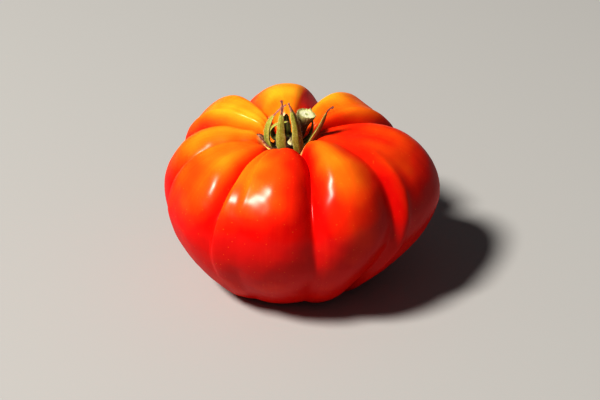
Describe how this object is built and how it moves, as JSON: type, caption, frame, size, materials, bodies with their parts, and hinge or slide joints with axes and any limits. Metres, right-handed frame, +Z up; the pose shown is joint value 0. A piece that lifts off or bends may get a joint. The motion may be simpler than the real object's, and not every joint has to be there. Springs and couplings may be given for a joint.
{
  "type": "beefsteak tomato",
  "caption": "Ribbed beefsteak tomato as picked, with its calyx and a cut stub of stem in the stem cavity.",
  "frame": {"origin": "on the ground, under the middle of the bounding box of the whole tomato as it rests", "axes": "+Z up, along the stem's axis; +X to the right of the picture, where the fruit is widest; +Y away from the viewer"},
  "size_m": [0.1098, 0.1062, 0.0783],
  "materials": {
    "tomato_skin": "smooth waxy skin, red below and orange over the shoulders",
    "sepal": "matt, finely haired, drying to brown at the tips",
    "stem": "matt haired bark with a pale cut face"
  },
  "bodies": {
    "root": {"fruit": "tomato_skin", "calyx": "sepal", "stem": "stem"}
  },
  "joints": []
}
